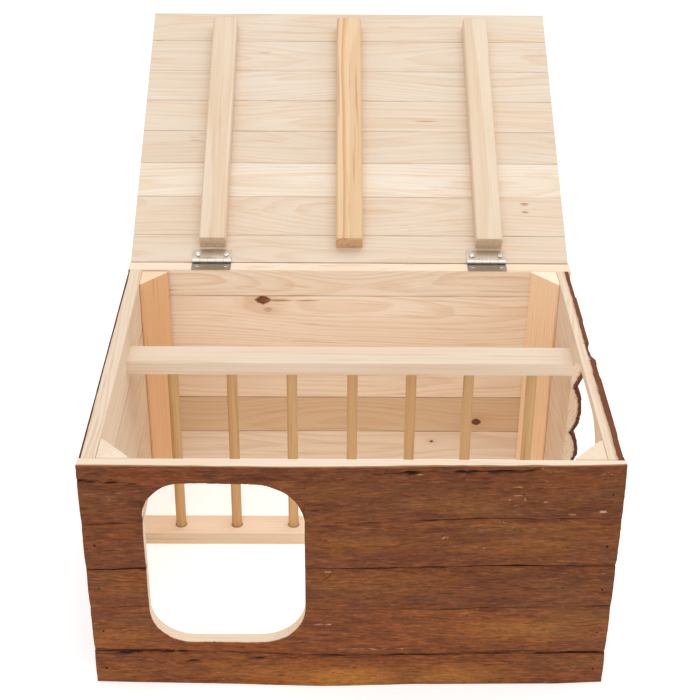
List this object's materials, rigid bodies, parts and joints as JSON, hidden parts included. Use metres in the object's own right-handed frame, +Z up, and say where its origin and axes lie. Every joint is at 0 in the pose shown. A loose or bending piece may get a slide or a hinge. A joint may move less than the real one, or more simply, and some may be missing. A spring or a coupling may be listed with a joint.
{
  "type": "rabbit hutch",
  "caption": "Low bottomless rabbit house of bark slabs with rounded doorways, a hay rack inside and a hinged lid, shown open.",
  "frame": {"origin": "on the ground, in the middle of the rectangle that the house covers with its lid open", "axes": "+Z up, +X to the right of someone facing the front wall, +Y from the front wall to the back wall and the open lid"},
  "size_m": [0.5012, 0.7666, 0.4414],
  "materials": {
    "bark_slab": "natural bark outside, pale sawn pine inside, untreated",
    "lid_slab": "pale sawn pine inside, natural bark outside, untreated",
    "planed_pine": "planed, untreated",
    "post_pine": "planed, untreated, warm tone",
    "dowel_wood": "smooth turned hardwood, honey tone",
    "plated_steel": "bright zinc plating",
    "nail_steel": "dull oxidised steel"
  },
  "bodies": {
    "house": {"back_board_1": "bark_slab", "back_board_2": "bark_slab", "back_board_3": "bark_slab", "back_board_4": "bark_slab", "back_board_5": "bark_slab", "front_board_1": "bark_slab", "front_board_2": "bark_slab", "front_board_3_left": "bark_slab", "front_board_3_right": "bark_slab", "front_board_4_left": "bark_slab", "front_board_4_right": "bark_slab", "front_board_5": "bark_slab", "hinge_left_pin": "plated_steel", "hinge_left_wall_leaf": "plated_steel", "hinge_right_pin": "plated_steel", "hinge_right_wall_leaf": "plated_steel", "hinge_wall_screws": "plated_steel", "left_board_1": "bark_slab", "left_board_2": "bark_slab", "left_board_3": "bark_slab", "left_board_4": "bark_slab", "left_board_5": "bark_slab", "post_back_left": "post_pine", "post_back_right": "post_pine", "post_front_left": "post_pine", "post_front_right": "post_pine", "rack_dowel_1": "dowel_wood", "rack_dowel_2": "dowel_wood", "rack_dowel_3": "dowel_wood", "rack_dowel_4": "dowel_wood", "rack_dowel_5": "dowel_wood", "rack_dowel_6": "dowel_wood", "rack_dowel_7": "dowel_wood", "rack_lower_rail": "planed_pine", "rack_nails": "nail_steel", "rack_upper_rail": "planed_pine", "right_board_1": "bark_slab", "right_board_2": "bark_slab", "right_board_3_front": "bark_slab", "right_board_3_rear": "bark_slab", "right_board_4_front": "bark_slab", "right_board_4_rear": "bark_slab", "right_board_5": "bark_slab", "wall_nails": "nail_steel"},
    "lid": {"hinge_left_lid_leaf": "plated_steel", "hinge_lid_screws": "plated_steel", "hinge_right_lid_leaf": "plated_steel", "lid_batten_left": "planed_pine", "lid_batten_middle": "planed_pine", "lid_batten_right": "planed_pine", "lid_board_1": "lid_slab", "lid_board_2": "lid_slab", "lid_board_3": "lid_slab", "lid_board_4": "lid_slab", "lid_board_5": "lid_slab", "lid_board_6": "lid_slab", "lid_board_7": "lid_slab", "lid_board_8": "lid_slab", "lid_nails": "nail_steel"}
  },
  "joints": [
    {"name": "lid_hinge", "type": "hinge", "parent": "house", "child": "lid", "pos_m": [0, 0.02467, 0.2617], "axis": [1, 0, 0], "range_deg": [0, 154]}
  ]
}
